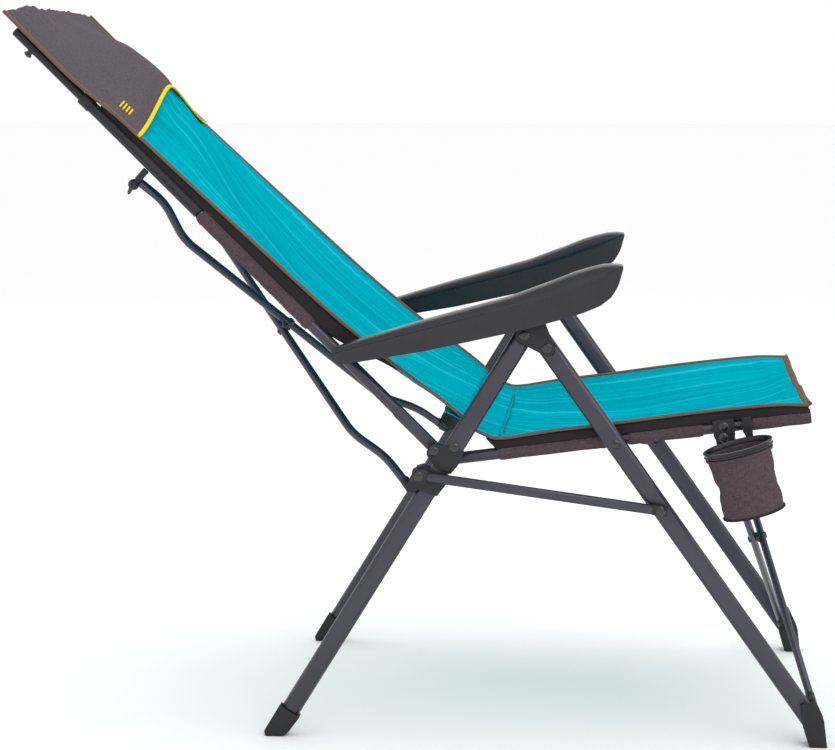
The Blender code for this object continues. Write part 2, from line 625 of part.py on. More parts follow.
def cup_holder():
    """Hoop and fabric cup outboard of the right seat rail, tilted up towards the front."""
    centre = place((CUP_D, CUP_Z), -CUP_X)
    axis = Vector((0, math.sin(CUP_TILT), math.cos(CUP_TILT)))
    rim_inner = CUP_RADIUS - RIM_DEPTH
    rim = [(-RIM_HALF_HEIGHT, rim_inner), (-RIM_HALF_HEIGHT, CUP_RADIUS),
           (RIM_HALF_HEIGHT, CUP_RADIUS), (RIM_HALF_HEIGHT, rim_inner)]
    hoop(centre, axis, rim, "cup_ring", "armrest_plastic", 32)
    mouth = CUP_RADIUS - POUCH_MOUTH
    base = CUP_RADIUS - POUCH_TAPER
    top = -RIM_HALF_HEIGHT - FIT_GAP
    drain = 0.0010
    bag = [(top, mouth - CUP_WALL), (top, mouth), (-CUP_DEPTH, base), (-CUP_DEPTH, drain),
           (-CUP_DEPTH + CUP_WALL, drain), (-CUP_DEPTH + CUP_WALL, base - CUP_WALL)]
    hoop(centre, axis, bag, "cup_pouch", "brown_fabric", 24)
    clip_start = RAIL_END + RAIL_DIRECTION * ((Vector(CLIP_POINT) - RAIL_END).dot(RAIL_DIRECTION))
    upward = Vector((-RAIL_DIRECTION.y, RAIL_DIRECTION.x))
    outline = [clip_start + RAIL_DIRECTION * a + upward * b for a, b in (
        (0.0020, 0.0115), (0.0020, -0.0115), (0.0060, -0.0190), (0.0160, -0.0190), (0.0160, 0.0115))]
    pivot = place(clip_start, -TUBE_X)
    x_range = (-(TUBE_X + 0.0150), -(TUBE_X - 0.0112))
    clip = prism("cup_bracket", outline, *x_range, "joint_plastic", pivot)
    path = [place(clip_start + RAIL_DIRECTION * a, -TUBE_X) for a in (-0.03, 0.04)]
    bore = round_section(TUBE_RADIUS + FIT_GAP)
    cut(clip, sweep("clip_cutter", path, ACROSS, bore, "joint_plastic", pivot))


def hoop(centre, axis, profile, name, material, sides):
    """Closed ring of revolution from (height along the axis, radius) pairs."""
    shape = bmesh.new()
    side_a = ACROSS
    side_b = axis.cross(side_a).normalized()
    rings = []
    for i in range(sides):
        spoke = unit(2 * math.pi * i / sides)
        direction = side_a * spoke.x + side_b * spoke.y
        rings.append([shape.verts.new(centre + axis * h + direction * r) for h, r in profile])
    for i in range(sides):
        ring_a = rings[i]
        ring_b = rings[(i + 1) % sides]
        for k in range(len(profile)):
            nxt = (k + 1) % len(profile)
            shape.faces.new((ring_a[k], ring_a[nxt], ring_b[nxt], ring_b[k]))
    return finish_mesh(name, shape, material, centre)


clear_scene()
MADE = make_materials()
for SIDE_WORD, SIDE in (("right", -1), ("left", 1)):
    side_legs(SIDE_WORD, SIDE)
    side_armrest(SIDE_WORD, SIDE)
    side_bracket(SIDE_WORD, SIDE)
    side_tubes(SIDE_WORD, SIDE)
    stop_plate(SIDE_WORD, SIDE)
    side_pivots(SIDE_WORD, SIDE)
    side_link(SIDE_WORD, SIDE)
    side_feet(SIDE_WORD, SIDE)
    side_rail_bracket(SIDE_WORD, SIDE)
front_braces()
rear_braces()
soft_parts()
cup_holder()
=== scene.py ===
"""Looks of the folding camp lounge chair: powder-coated tubes, moulded joints, sewn mesh
sling, padded headrest and cup holder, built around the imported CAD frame."""
import json
import math

import bmesh
import bpy
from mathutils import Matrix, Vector, noise


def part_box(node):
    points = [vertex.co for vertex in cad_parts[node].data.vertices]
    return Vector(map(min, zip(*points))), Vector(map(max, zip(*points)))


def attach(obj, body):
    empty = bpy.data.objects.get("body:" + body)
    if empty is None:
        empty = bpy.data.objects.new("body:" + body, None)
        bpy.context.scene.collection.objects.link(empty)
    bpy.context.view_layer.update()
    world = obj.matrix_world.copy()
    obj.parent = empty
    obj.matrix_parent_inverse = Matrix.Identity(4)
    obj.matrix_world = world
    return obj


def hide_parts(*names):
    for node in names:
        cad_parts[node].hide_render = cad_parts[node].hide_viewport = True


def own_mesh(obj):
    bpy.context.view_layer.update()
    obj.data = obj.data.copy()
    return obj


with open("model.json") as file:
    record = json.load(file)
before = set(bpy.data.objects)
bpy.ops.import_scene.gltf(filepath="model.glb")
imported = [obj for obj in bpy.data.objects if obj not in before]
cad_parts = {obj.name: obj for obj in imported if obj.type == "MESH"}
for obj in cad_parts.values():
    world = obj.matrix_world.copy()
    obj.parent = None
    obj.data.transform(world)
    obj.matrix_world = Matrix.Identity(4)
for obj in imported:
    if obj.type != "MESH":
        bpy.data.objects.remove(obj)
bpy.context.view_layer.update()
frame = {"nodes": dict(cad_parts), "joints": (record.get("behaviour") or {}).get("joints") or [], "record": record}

JOINTS = {joint["name"]: joint for joint in frame["joints"]}
MOUNTS = {mount["name"]: mount for mount in frame["record"]["mounts"]}
ACROSS = Vector((1, 0, 0))
SIDES = (("right", -1), ("left", 1))


def pivot(joint):
    return Vector(JOINTS[joint]["pos_m"])


def node_points(node):
    return [vertex.co.copy() for vertex in frame["nodes"][node].data.vertices]


def bar_ends(node):
    """Centres of the two ends of a straight CAD bar, found from its own vertices."""
    points = node_points(node)
    centre = sum(points, Vector()) / len(points)
    far = max(points, key=lambda p: (p - centre).length)
    direction = (far - centre).normalized()
    for _ in range(3):
        reach = [(p - centre).dot(direction) for p in points]
        limit = max(reach) * 0.8
        front = [p for p, r in zip(points, reach) if r > limit]
        rear = [p for p, r in zip(points, reach) if r < min(reach) * 0.8]
        direction = (sum(front, Vector()) / len(front) - sum(rear, Vector()) / len(rear)).normalized()
    reach = [(p - centre).dot(direction) for p in points]
    ends = []
    for value in (min(reach), max(reach)):
        ring = [p for p, r in zip(points, reach) if abs(r - value) < 0.0030]
        ends.append(sum(ring, Vector()) / len(ring))
    middle = sum(ends, Vector()) / 2
    half_length = direction * (max(reach) - min(reach)) / 2
    return middle - half_length, middle + half_length


MIDDLE_X = pivot("front_brace_cross").x


def on_side(point, x):
    """The same side-view point at a distance x from the chair's middle plane."""
    return Vector((MIDDLE_X + x, point.y, point.z))


# Side-view lines of the frame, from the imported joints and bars.
RECLINE = pivot("right_back_fold")
RAIL_END = pivot("right_rail_fold")
rail_start, rail_tip = sorted(bar_ends("right_seat_rail"), key=lambda p: -p.y)
RAIL_X = MIDDLE_X - rail_tip.x
RAIL_DIRECTION = (rail_tip - rail_start).normalized()
RAIL_UP = RAIL_DIRECTION.cross(ACROSS).normalized()
RAIL_UP = RAIL_UP if RAIL_UP.z > 0 else -RAIL_UP
RAIL_LENGTH = (rail_tip - RAIL_END).dot(RAIL_DIRECTION)
back_low, back_high = sorted(bar_ends("right_back_tube"), key=lambda p: p.z)
BACK_DIRECTION = (back_high - back_low).normalized()
BACK_FRONT = BACK_DIRECTION.cross(ACROSS).normalized()
BACK_FRONT = BACK_FRONT if BACK_FRONT.z > 0 else -BACK_FRONT
extension_high = max(bar_ends("right_back_extension"), key=lambda p: p.z)
BACK_LENGTH = (extension_high - RECLINE).dot(BACK_DIRECTION)
TUBE_RADIUS = 0.0090


# ---------------------------------------------------------------- materials

class Shader:
    """Short-hand for a Principled material and its node tree."""

    def __init__(self, name, color, roughness, metallic=0.0, **sockets):
        self.material = bpy.data.materials.new(name)
        self.material.use_nodes = True
        self.tree = self.material.node_tree
        self.main = self.tree.nodes["Principled BSDF"]
        self.set(self.main, **{"Base Color": (*color, 1.0), "Roughness": roughness, "Metallic": metallic})
        self.set(self.main, **sockets)
        self.height = None

    def set(self, node, **values):
        for key, value in values.items():
            node.inputs[key.replace("_", " ")].default_value = value

    def add(self, kind, **values):
        node = self.tree.nodes.new(kind)
        for key, value in values.items():
            setattr(node, key, value)
        return node

    def link(self, output, target):
        self.tree.links.new(output, target)

    def coordinates(self, kind, scale):
        source = self.add("ShaderNodeTexCoord")
        mapping = self.add("ShaderNodeMapping")
        mapping.inputs["Scale"].default_value = scale
        self.link(source.outputs[kind], mapping.inputs["Vector"])
        return mapping.outputs["Vector"]

    def noise(self, kind, scale, detail=3.0, size=1.0, roughness=0.5):
        node = self.add("ShaderNodeTexNoise")
        self.set(node, Scale=size, Detail=detail, Roughness=roughness)
        self.link(self.coordinates(kind, scale), node.inputs["Vector"])
        return node.outputs["Fac"]

    def wave(self, kind, scale, direction="X", profile="SIN", distortion=0.0):
        node = self.add("ShaderNodeTexWave", bands_direction=direction, wave_profile=profile)
        self.set(node, Scale=1.0, Distortion=distortion, Detail=1.0)
        self.link(self.coordinates(kind, scale), node.inputs["Vector"])
        return node.outputs["Fac"]

    def math(self, operation, first, second):
        node = self.add("ShaderNodeMath", operation=operation)
        for socket, value in zip(node.inputs, (first, second)):
            if isinstance(value, (int, float)):
                socket.default_value = value
            else:
                self.link(value, socket)
        return node.outputs[0]

    def ramp(self, factor, stops):
        node = self.add("ShaderNodeValToRGB")
        elements = node.color_ramp.elements
        while len(elements) < len(stops):
            elements.new(0.5)
        for element, (position, color) in zip(elements, stops):
            element.position = position
            element.color = (*color, 1.0)
        self.link(factor, node.inputs["Fac"])
        return node.outputs["Color"]

    def vary(self, socket, factor, low, high):
        node = self.add("ShaderNodeMapRange")
        self.set(node, To_Min=low, To_Max=high)
        node.inputs["From Min"].default_value = 0.3
        node.inputs["From Max"].default_value = 0.7
        self.link(factor, node.inputs["Value"])
        self.link(node.outputs["Result"], self.main.inputs[socket])

    def color(self, output):
        self.link(output, self.main.inputs["Base Color"])

    def mix(self, factor, first, second, kind="MIX"):
        node = self.add("ShaderNodeMix", data_type="RGBA", blend_type=kind)
        for socket, value in ((node.inputs[0], factor), (node.inputs[6], first), (node.inputs[7], second)):
            if isinstance(value, (int, float)):
                socket.default_value = value
            elif isinstance(value, tuple):
                socket.default_value = (*value, 1.0)
            else:
                self.link(value, socket)
        return node.outputs[2]

    def bump(self, height, strength, distance):
        node = self.add("ShaderNodeBump")
        self.set(node, Strength=strength, Distance=distance)
        self.link(height, node.inputs["Height"])
        if self.height:
            self.link(self.height, node.inputs["Normal"])
        self.height = node.outputs["Normal"]
        self.link(self.height, self.main.inputs["Normal"])


def painted_tube():
    """Dark grey metallic powder coat: orange-peel skin with small tone changes."""
    shader = Shader("powder_coat", (0.085, 0.084, 0.098), 0.36, 0.75, Coat_Weight=0.15, Coat_Roughness=0.28)
    speck = shader.noise("Object", (900, 900, 900), 2.0)
    cloud = shader.noise("Object", (14, 14, 14), 3.0)
    tone = shader.mix(shader.math("MULTIPLY", speck, cloud), (0.050, 0.048, 0.062), (0.088, 0.086, 0.106))
    shader.color(tone)
    shader.vary("Roughness", cloud, 0.30, 0.42)
    shader.bump(speck, 0.10, 0.0002)
    return shader.material


def moulded(name, color, roughness, grain, **sockets):
    """Moulded plastic with a fine spark-eroded grain and faint flow marks."""
    shader = Shader(name, color, roughness, 0.0, **sockets)
    speck = shader.noise("Object", (grain, grain, grain), 3.0)
    cloud = shader.noise("Object", (22, 22, 22), 4.0)
    lighter = tuple(min(1.0, c * 1.55 + 0.004) for c in color)
    shader.color(shader.mix(cloud, color, lighter))
    shader.vary("Roughness", cloud, roughness - 0.06, roughness + 0.10)
    shader.bump(speck, 0.16, 0.0003)
    return shader.material


def weave_height(shader, pitch):
    """Over-and-under cross weave on UV coordinates, which are in metres."""
    turns = 1.0 / pitch / 20.0 * 2 * math.pi
    warp = shader.wave("UV", (turns * 3.0, 1, 1), "X")
    weft = shader.wave("UV", (1, turns * 3.0, 1), "Y")
    return shader.math("MULTIPLY", warp, weft)


def teal_mesh():
    """Teal polyester mesh: open dots, lighter lengthwise streaks, darker pull lines."""
    shader = Shader("teal_mesh", (0.0, 0.42, 0.52), 0.75, 0.0, Specular_IOR_Level=0.0)
    weave = weave_height(shader, 0.0016)
    streak = shader.noise("UV", (52, 1.6, 1), 4.0, 1.0, 0.6)
    broad = shader.noise("UV", (7, 3.2, 1), 2.0)
    base = shader.ramp(streak, ((0.30, (0.0, 0.235, 0.310)), (0.46, (0.0, 0.315, 0.400)),
                                (0.57, (0.0, 0.385, 0.475)), (0.70, (0.045, 0.500, 0.590))))
    shaded = shader.mix(shader.math("MULTIPLY", broad, 0.6), base, (0.0, 0.325, 0.410))
    dotted = shader.mix(shader.math("MULTIPLY", weave, 0.18), shaded, (0.0, 0.220, 0.285))
    shader.color(dotted)
    shader.vary("Roughness", streak, 0.66, 0.82)
    shader.bump(streak, 0.35, 0.0020)
    shader.bump(weave, 0.35, 0.0006)
    return shader.material


def melange(name, dark, light, pitch, streak=(160, 700)):
    """Two-tone heather yarn with a visible weave."""
    shader = Shader(name, light, 0.92, 0.0, Specular_IOR_Level=0.08)
    yarn = shader.noise("UV", (streak[0], streak[1], 1), 4.0, 1.0, 0.65)
    cross = shader.noise("UV", (streak[1], streak[0], 1), 4.0, 1.0, 0.65)
    heather = shader.math("MULTIPLY", yarn, cross)
    between = tuple((a + b) / 2 for a, b in zip(dark, light))
    tone = shader.ramp(heather, ((0.13, dark), (0.24, between), (0.38, light)))
    cloud = shader.noise("UV", (9, 9, 1), 3.0)
    shader.color(shader.mix(shader.math("MULTIPLY", cloud, 0.35), tone, dark))
    shader.vary("Roughness", yarn, 0.80, 0.95)
    shader.bump(heather, 0.45, 0.0008)
    shader.bump(weave_height(shader, pitch), 0.4, 0.0006)
    return shader.material


def ribbed_tape(name, dark, light):
    """Woven edge tape with ribs across its width and a line of stitches."""
    shader = Shader(name, light, 0.90, 0.0, Specular_IOR_Level=0.08)
    rib = shader.wave("UV", (1, 260, 1), "Y")
    yarn = shader.noise("UV", (500, 60, 1), 3.0)
    shader.color(shader.mix(shader.math("MULTIPLY", rib, yarn), dark, light))
    shader.vary("Roughness", yarn, 0.74, 0.90)
    shader.bump(rib, 0.5, 0.0006)
    return shader.material


MATERIALS = {
    "paint": painted_tube(),
    "armrest": moulded("satin_armrest", (0.011, 0.011, 0.014), 0.28, 1400, Specular_IOR_Level=0.42),
    "joint": moulded("moulded_joint", (0.010, 0.010, 0.012), 0.42, 1100, Specular_IOR_Level=0.35),
    "rivet": moulded("rivet_gloss", (0.012, 0.012, 0.014), 0.18, 300, Coat_Weight=0.3, Coat_Roughness=0.08),
    "foot": moulded("foot_rubber", (0.010, 0.010, 0.011), 0.58, 700, Specular_IOR_Level=0.35),
    "teal": teal_mesh(),
    "head": melange("headrest_melange", (0.060, 0.047, 0.055), (0.145, 0.120, 0.133), 0.0012),
    "sleeve": melange("sleeve_melange", (0.045, 0.032, 0.038), (0.130, 0.094, 0.105), 0.0016, (90, 900)),
    "binding": ribbed_tape("brown_binding", (0.110, 0.074, 0.058), (0.250, 0.178, 0.140)),
    # near-black ribbed tape: painted shade on the walls under the sling's edges, and the dark piping at the cup's base
    "dark_piping_and_painted_shade": ribbed_tape("dark_piping_and_painted_shade", (0.018, 0.015, 0.016), (0.052, 0.045, 0.047)),
    "yellow": ribbed_tape("yellow_piping", (0.72, 0.52, 0.010), (0.95, 0.76, 0.045)),
    "thread": ribbed_tape("teal_thread", (0.0, 0.20, 0.27), (0.0, 0.32, 0.40)),
}


# ---------------------------------------------------------------- mesh builders

def make_object(name, shape, material, smooth=50.0):
    bmesh.ops.recalc_face_normals(shape, faces=shape.faces)
    mesh = bpy.data.meshes.new(name)
    shape.to_mesh(mesh)
    shape.free()
    mesh.shade_smooth()
    mesh.set_sharp_from_angle(angle=math.radians(smooth))
    item = bpy.data.objects.new(name, mesh)
    bpy.context.scene.collection.objects.link(item)
    mesh.materials.append(MATERIALS[material])
    return item


def apply_modifiers(item):
    bpy.context.view_layer.update()
    evaluated = item.evaluated_get(bpy.context.evaluated_depsgraph_get())
    mesh = bpy.data.meshes.new_from_object(evaluated)
    item.modifiers.clear()
    item.data = mesh
    return item


def rings_mesh(name, rings, material, closed_loop=True, capped=True, smooth=50.0):
    """Skin over rows of points, with UV in metres: across the row, and along the rows."""
    shape = bmesh.new()
    layer = shape.loops.layers.uv.new("UVMap")
    rows = [[shape.verts.new(point) for point in ring] for ring in rings]
    count = len(rings[0])
    along = [0.0]
    for first, second in zip(rings, rings[1:]):
        along.append(along[-1] + sum((b - a).length for a, b in zip(first, second)) / count)
    middle = rings[len(rings) // 2]
    across = [0.0]
    for k in range(count):
        across.append(across[-1] + (middle[(k + 1) % count] - middle[k]).length)
    for i in range(len(rows) - 1):
        for k in range(count if closed_loop else count - 1):
            nxt = (k + 1) % count
            face = shape.faces.new((rows[i][k], rows[i][nxt], rows[i + 1][nxt], rows[i + 1][k]))
            corners = ((across[k], along[i]), (across[k + 1], along[i]),
                       (across[k + 1], along[i + 1]), (across[k], along[i + 1]))
            for loop, value in zip(face.loops, corners):
                loop[layer].uv = value
    if capped and closed_loop:
        shape.faces.new(rows[0])
        shape.faces.new(rows[-1])
    return make_object(name, shape, material, smooth)


def rounded_path(points, radius=0.02, steps=5):
    """Polyline with its corners turned into smooth bends."""
    path = [points[0]]
    for before, corner, after in zip(points, points[1:], points[2:]):
        reach = min(radius, (corner - before).length * 0.45, (after - corner).length * 0.45)
        start = corner + (before - corner).normalized() * reach
        end = corner + (after - corner).normalized() * reach
        for i in range(steps + 1):
            t = i / steps
            path.append(start.lerp(corner, t).lerp(corner.lerp(end, t), t))
    path.append(points[-1])
    return path


def oval_loop(thickness, width, steps=10):
    radius = thickness / 2
    straight = width / 2 - radius
    loop = []
    for sign in (1, -1):
        for i in range(steps + 1):
            angle = math.pi * i / steps + (0 if sign > 0 else math.pi)
            loop.append((math.cos(angle) * radius, math.sin(angle) * radius + sign * straight))
    return loop


def round_loop(radius, sides=28):
    return [(math.cos(2 * math.pi * i / sides) * radius, math.sin(2 * math.pi * i / sides) * radius)
            for i in range(sides)]


def tube(name, path, section, material, normal=ACROSS, end_bevel=0.0012):
    """Bar along a path in the plane with the given normal; its ends are slightly rounded."""
    rings = []
    normal = normal.normalized()
    start_way = (path[0] - path[1]).normalized()
    end_way = (path[-1] - path[-2]).normalized()
    stations = [(path[0], 0.80), (path[0] - start_way * end_bevel, 1.0)]
    stations += [(point, 1.0) for point in path[1:-1]]
    stations += [(path[-1] - end_way * end_bevel, 1.0), (path[-1], 0.80)]
    for i, (point, size) in enumerate(stations):
        before = stations[max(i - 1, 0)][0]
        after = stations[min(i + 1, len(stations) - 1)][0]
        sideways = (after - before).normalized().cross(normal)
        rings.append([point + (normal * a + sideways * b) * size for a, b in section])
    return rings_mesh(name, rings, material)


def refined(node, material, bevel, segments=3, smooth=40.0):
    """Copy of a moulded CAD solid with its edges rounded; it stands for that node."""
    shape = bmesh.new()
    shape.from_mesh(frame["nodes"][node].data)
    bmesh.ops.remove_doubles(shape, verts=shape.verts, dist=0.00002)
    bmesh.ops.dissolve_limit(shape, angle_limit=math.radians(2.0), verts=shape.verts, edges=shape.edges)
    item = make_object(node + "_moulding", shape, material, smooth)
    rounding = item.modifiers.new("rounding", "BEVEL")
    rounding.width = bevel
    rounding.segments = segments
    rounding.limit_method = "ANGLE"
    rounding.angle_limit = math.radians(28.0)
    apply_modifiers(item)
    item.data.shade_smooth()
    item.data.set_sharp_from_angle(angle=math.radians(smooth))
    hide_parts(node)
    return item


def turned(name, centre, axis, profile, material, sides=32):
    """Solid of revolution from (distance along axis, radius) pairs."""
    axis = axis.normalized()
    first = axis.orthogonal().normalized()
    second = axis.cross(first)
    rings = []
    for distance, radius in profile:
        rings.append([centre + axis * distance + (first * a + second * b)
                      for a, b in round_loop(radius, sides)])
    return rings_mesh(name, rings, material, smooth=32.0)


# ---------------------------------------------------------------- frame pieces

def leg_tube(word, which, body):
    node = f"{word}_{which}_leg"
    high, low = sorted(bar_ends(node), key=lambda p: -p.z)
    piece = tube(node + "_tube", [high, high.lerp(low, 0.5), low], oval_loop(0.0150, 0.0290), "paint",
                 end_bevel=0.0025)
    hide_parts(node)
    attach(piece, body)


def side_tubes(word, side):
    start, end = sorted(bar_ends(word + "_seat_rail"), key=lambda p: -p.y)
    rail = tube(word + "_rail_tube", [start, start.lerp(end, 0.5), end], round_loop(TUBE_RADIUS), "paint")
    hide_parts(word + "_seat_rail")
    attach(rail, word + "_rail")
    low, high = sorted(bar_ends(word + "_back_tube"), key=lambda p: p.z)
    sleeve_end = RECLINE + BACK_DIRECTION * 0.50
    reach = (on_side(sleeve_end, side * RAIL_X) - low).dot(BACK_DIRECTION)
    split = low + BACK_DIRECTION * reach
    lower = tube(word + "_back_lower_tube", [low, low.lerp(split, 0.5), split],
                 round_loop(TUBE_RADIUS), "paint")
    upper = tube(word + "_back_upper_tube", [split, split.lerp(high, 0.5), high],
                 round_loop(TUBE_RADIUS), "joint")
    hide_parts(word + "_back_tube")
    start, end = sorted(bar_ends(word + "_back_extension"), key=lambda p: p.z)
    tip = tube(word + "_back_tip_tube", [start, start.lerp(end, 0.5), end], round_loop(0.0072), "joint")
    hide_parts(word + "_back_extension")
    collar = tube(word + "_back_collar", [high - BACK_DIRECTION * 0.018, high, high + BACK_DIRECTION * 0.004],
                  round_loop(TUBE_RADIUS + 0.0016), "joint")
    for piece in (lower, upper, tip, collar):
        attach(piece, word + "_back")
    bolt = high + BACK_DIRECTION * 0.105 - BACK_FRONT * 0.004
    knob = turned(word + "_tip_knob", bolt, -BACK_FRONT,
                  [(0.0, 0.0045), (0.0065, 0.0045), (0.0070, 0.0060), (0.0100, 0.0060), (0.0112, 0.0045)], "rivet")
    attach(knob, word + "_back")


BLOCK_SECTION = [(a * 0.0064, b * 0.0106) for a, b in ((-0.8, -1), (0.8, -1), (1, -0.85), (1, 0.85), (0.8, 1),
                                                        (-0.8, 1), (-1, 0.85), (-1, -0.85))]


def side_link(word):
    start, end = sorted(bar_ends(word + "_side_link"), key=lambda p: -p.y)
    way = (end - start).normalized()
    bar = tube(word + "_link_tube", [start + way * 0.004, start.lerp(end, 0.5), end - way * 0.004],
               oval_loop(0.0112, 0.0152), "paint")
    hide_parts(word + "_side_link")
    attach(bar, word + "_link")
    for label, base, heading in (("rear", start, way), ("front", end, -way)):
        section = BLOCK_SECTION if label == "rear" else oval_loop(0.0122, 0.0164)
        cap = tube(f"{word}_link_{label}_cap", [base, base + heading * 0.012, base + heading * 0.024],
                   section, "joint", end_bevel=0.0015)
        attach(cap, word + "_link")


def front_braces():
    for word, _ in SIDES:
        node = word + "_front_brace"
        low, high = sorted(bar_ends(node), key=lambda p: p.z)
        way = (high - low).normalized()
        plane = Vector(JOINTS["front_brace_cross"]["axis"])
        bar = tube(node + "_tube", [low, low.lerp(high, 0.5), high], round_loop(0.0060, 24), "paint", plane)
        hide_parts(node)
        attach(bar, node)
        for label, base, heading in (("foot", low, way), ("rail", high, -way)):
            cap = tube(f"{node}_{label}_cap", [base - heading * 0.003, base + heading * 0.010, base + heading * 0.020],
                       round_loop(0.0069, 24), "joint", plane)
            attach(cap, node)
    crossing("front_brace_rivet", "right_front_brace", Vector(JOINTS["front_brace_cross"]["axis"]), 0.0060)


def crossing(node, body, axis, radius):
    low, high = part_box(node)
    centre = (Vector(low) + Vector(high)) / 2
    reach = radius * 2 + 0.0012
    profile = [(-reach - 0.0026, 0.0020), (-reach - 0.0020, 0.0048), (-reach + 0.0006, 0.0062),
               (-0.0013, 0.0062), (-0.0013, 0.0085), (0.0013, 0.0085), (0.0013, 0.0062),
               (reach - 0.0006, 0.0062), (reach + 0.0020, 0.0048), (reach + 0.0026, 0.0020)]
    piece = turned(node + "_pin", centre, axis, profile, "rivet", 28)
    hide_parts(node)
    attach(piece, body)


def rear_braces():
    """Bent tubes that cross behind the back, from a ball on each back tube to the opposite slider."""
    radius = 0.0065
    normal = Vector(JOINTS["right_rear_brace_fold"]["axis"])
    ends = {word: sorted(bar_ends(word + "_rear_brace"), key=lambda p: -p.z) for word, side in SIDES}
    low, high = (Vector(v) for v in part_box("rear_brace_rivet"))
    middle = sum((end for pair in ends.values() for end in pair), Vector()) / 4
    bow = normal * ((low + high) / 2 - middle).dot(normal)
    for word, side in SIDES:
        node = word + "_rear_brace"
        high, low = ends[word]
        run = (low - high).normalized()
        plane = run.cross(normal)
        route = [high - run * 0.010, high + run * 0.0485, high + run * 0.1235 + bow,
                 low - run * 0.155 + bow, low - run * 0.077 + bow * 0.15, low]
        bar = tube(node + "_tube", rounded_path(route, 0.024, 6), round_loop(radius, 24), "paint", plane)
        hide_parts(node)
        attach(bar, node)
        cap = tube(node + "_end_cap", [low - run * 0.022, low - run * 0.008, low + run * 0.002],
                   round_loop(radius + 0.0011, 24), "joint", plane)
        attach(cap, node)
        ball = pivot(word + "_brace_socket_fold")
        ball.x = MIDDLE_X + side * abs(pivot("right_rear_brace_fold").x - MIDDLE_X)
        neck = tube(word + "_brace_neck", [ball - BACK_FRONT * 0.002, ball + BACK_FRONT * 0.008,
                                           ball + BACK_FRONT * 0.016 + ACROSS * side * 0.004],
                    round_loop(0.0050, 20), "joint")
        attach(neck, word + "_back")
        pin = turned(word + "_brace_pin", ball - BACK_FRONT * 0.004, -BACK_FRONT - BACK_DIRECTION * 0.35,
                     [(0.0, 0.0032), (0.0080, 0.0030), (0.0130, 0.0016)], "rivet", 20)
        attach(pin, word + "_brace_socket")
    crossing("rear_brace_rivet", "right_rear_brace", normal, radius)


def armrest(word):
    """Moulded armrest: a soft-edged top cap over a slightly narrower body, hollow below."""
    low, high = (Vector(v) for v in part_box(word + "_armrest"))
    points = node_points(word + "_armrest")
    origin = max(points, key=lambda p: p.y)
    origin.x = 0.0
    slope = math.radians(15.0)
    forward = Vector((0, -math.cos(slope), math.sin(slope)))
    up = Vector((0, math.sin(slope), math.cos(slope)))
    reach = max((p - origin).dot(forward) for p in points)
    middle_x = (low.x + high.x) / 2
    half = (high.x - low.x) / 2
    rings = []
    count = 56
    for i in range(count + 1):
        t = 1 - (1 - i / count) ** 1.25
        top, bottom = armrest_heights(t)
        rear_round = math.sqrt(1 - (1 - min(t / 0.035, 1.0)) ** 2)
        nose_round = math.sqrt(1 - (1 - min((1 - t) / 0.05 + 0.25, 1.0)) ** 2)
        width = half * (0.62 + 0.38 * rear_round * nose_round) * (0.93 + 0.07 * math.sin(math.pi * min(1, t * 1.2)))
        height = (top - bottom) * (0.78 + 0.22 * rear_round)
        rings.append([origin + forward * reach * t + up * ((top + bottom) / 2 + b * height) +
                      ACROSS * (middle_x + w * width) for w, b in ARMREST_SECTION])
    piece = rings_mesh(word + "_armrest_shell", rings, "armrest", smooth=38.0)
    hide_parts(word + "_armrest")
    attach(piece, word + "_armrest")


def armrest_heights(t):
    """Top and bottom of the armrest above its rear-tip line, along its length."""
    keys = ((0.0, 0.000, -0.0245), (0.10, 0.0030, -0.0290), (0.30, 0.0060, -0.0370), (0.62, 0.0080, -0.0430),
            (0.76, 0.0140, -0.0425), (0.84, 0.0185, -0.0410), (0.90, 0.0195, -0.0370), (0.94, 0.0190, -0.0290),
            (0.97, 0.0165, -0.0160), (0.99, 0.0135, -0.0010), (1.0, 0.0110, 0.0070))
    for (t0, a0, b0), (t1, a1, b1) in zip(keys, keys[1:]):
        if t <= t1:
            s = (t - t0) / (t1 - t0)
            return a0 + (a1 - a0) * s, b0 + (b1 - b0) * s
    return keys[-1][1:]


def armrest_section():
    """Cross-section in half-widths and heights, going round the outside and then the hollow."""
    outside = [(-0.88, -0.50), (-0.90, -0.20), (-0.91, 0.16), (-0.92, 0.22), (-0.985, 0.25), (-1.0, 0.31),
               (-0.99, 0.385), (-0.94, 0.445), (-0.84, 0.485), (-0.60, 0.505), (-0.30, 0.512), (0.0, 0.514)]
    right = [(-w, b) for w, b in reversed(outside[:-1])]
    hollow = [(0.80, -0.50), (0.80, -0.10), (0.78, 0.30), (-0.78, 0.30), (-0.80, -0.10), (-0.80, -0.50)]
    return outside + right + hollow


ARMREST_SECTION = armrest_section()


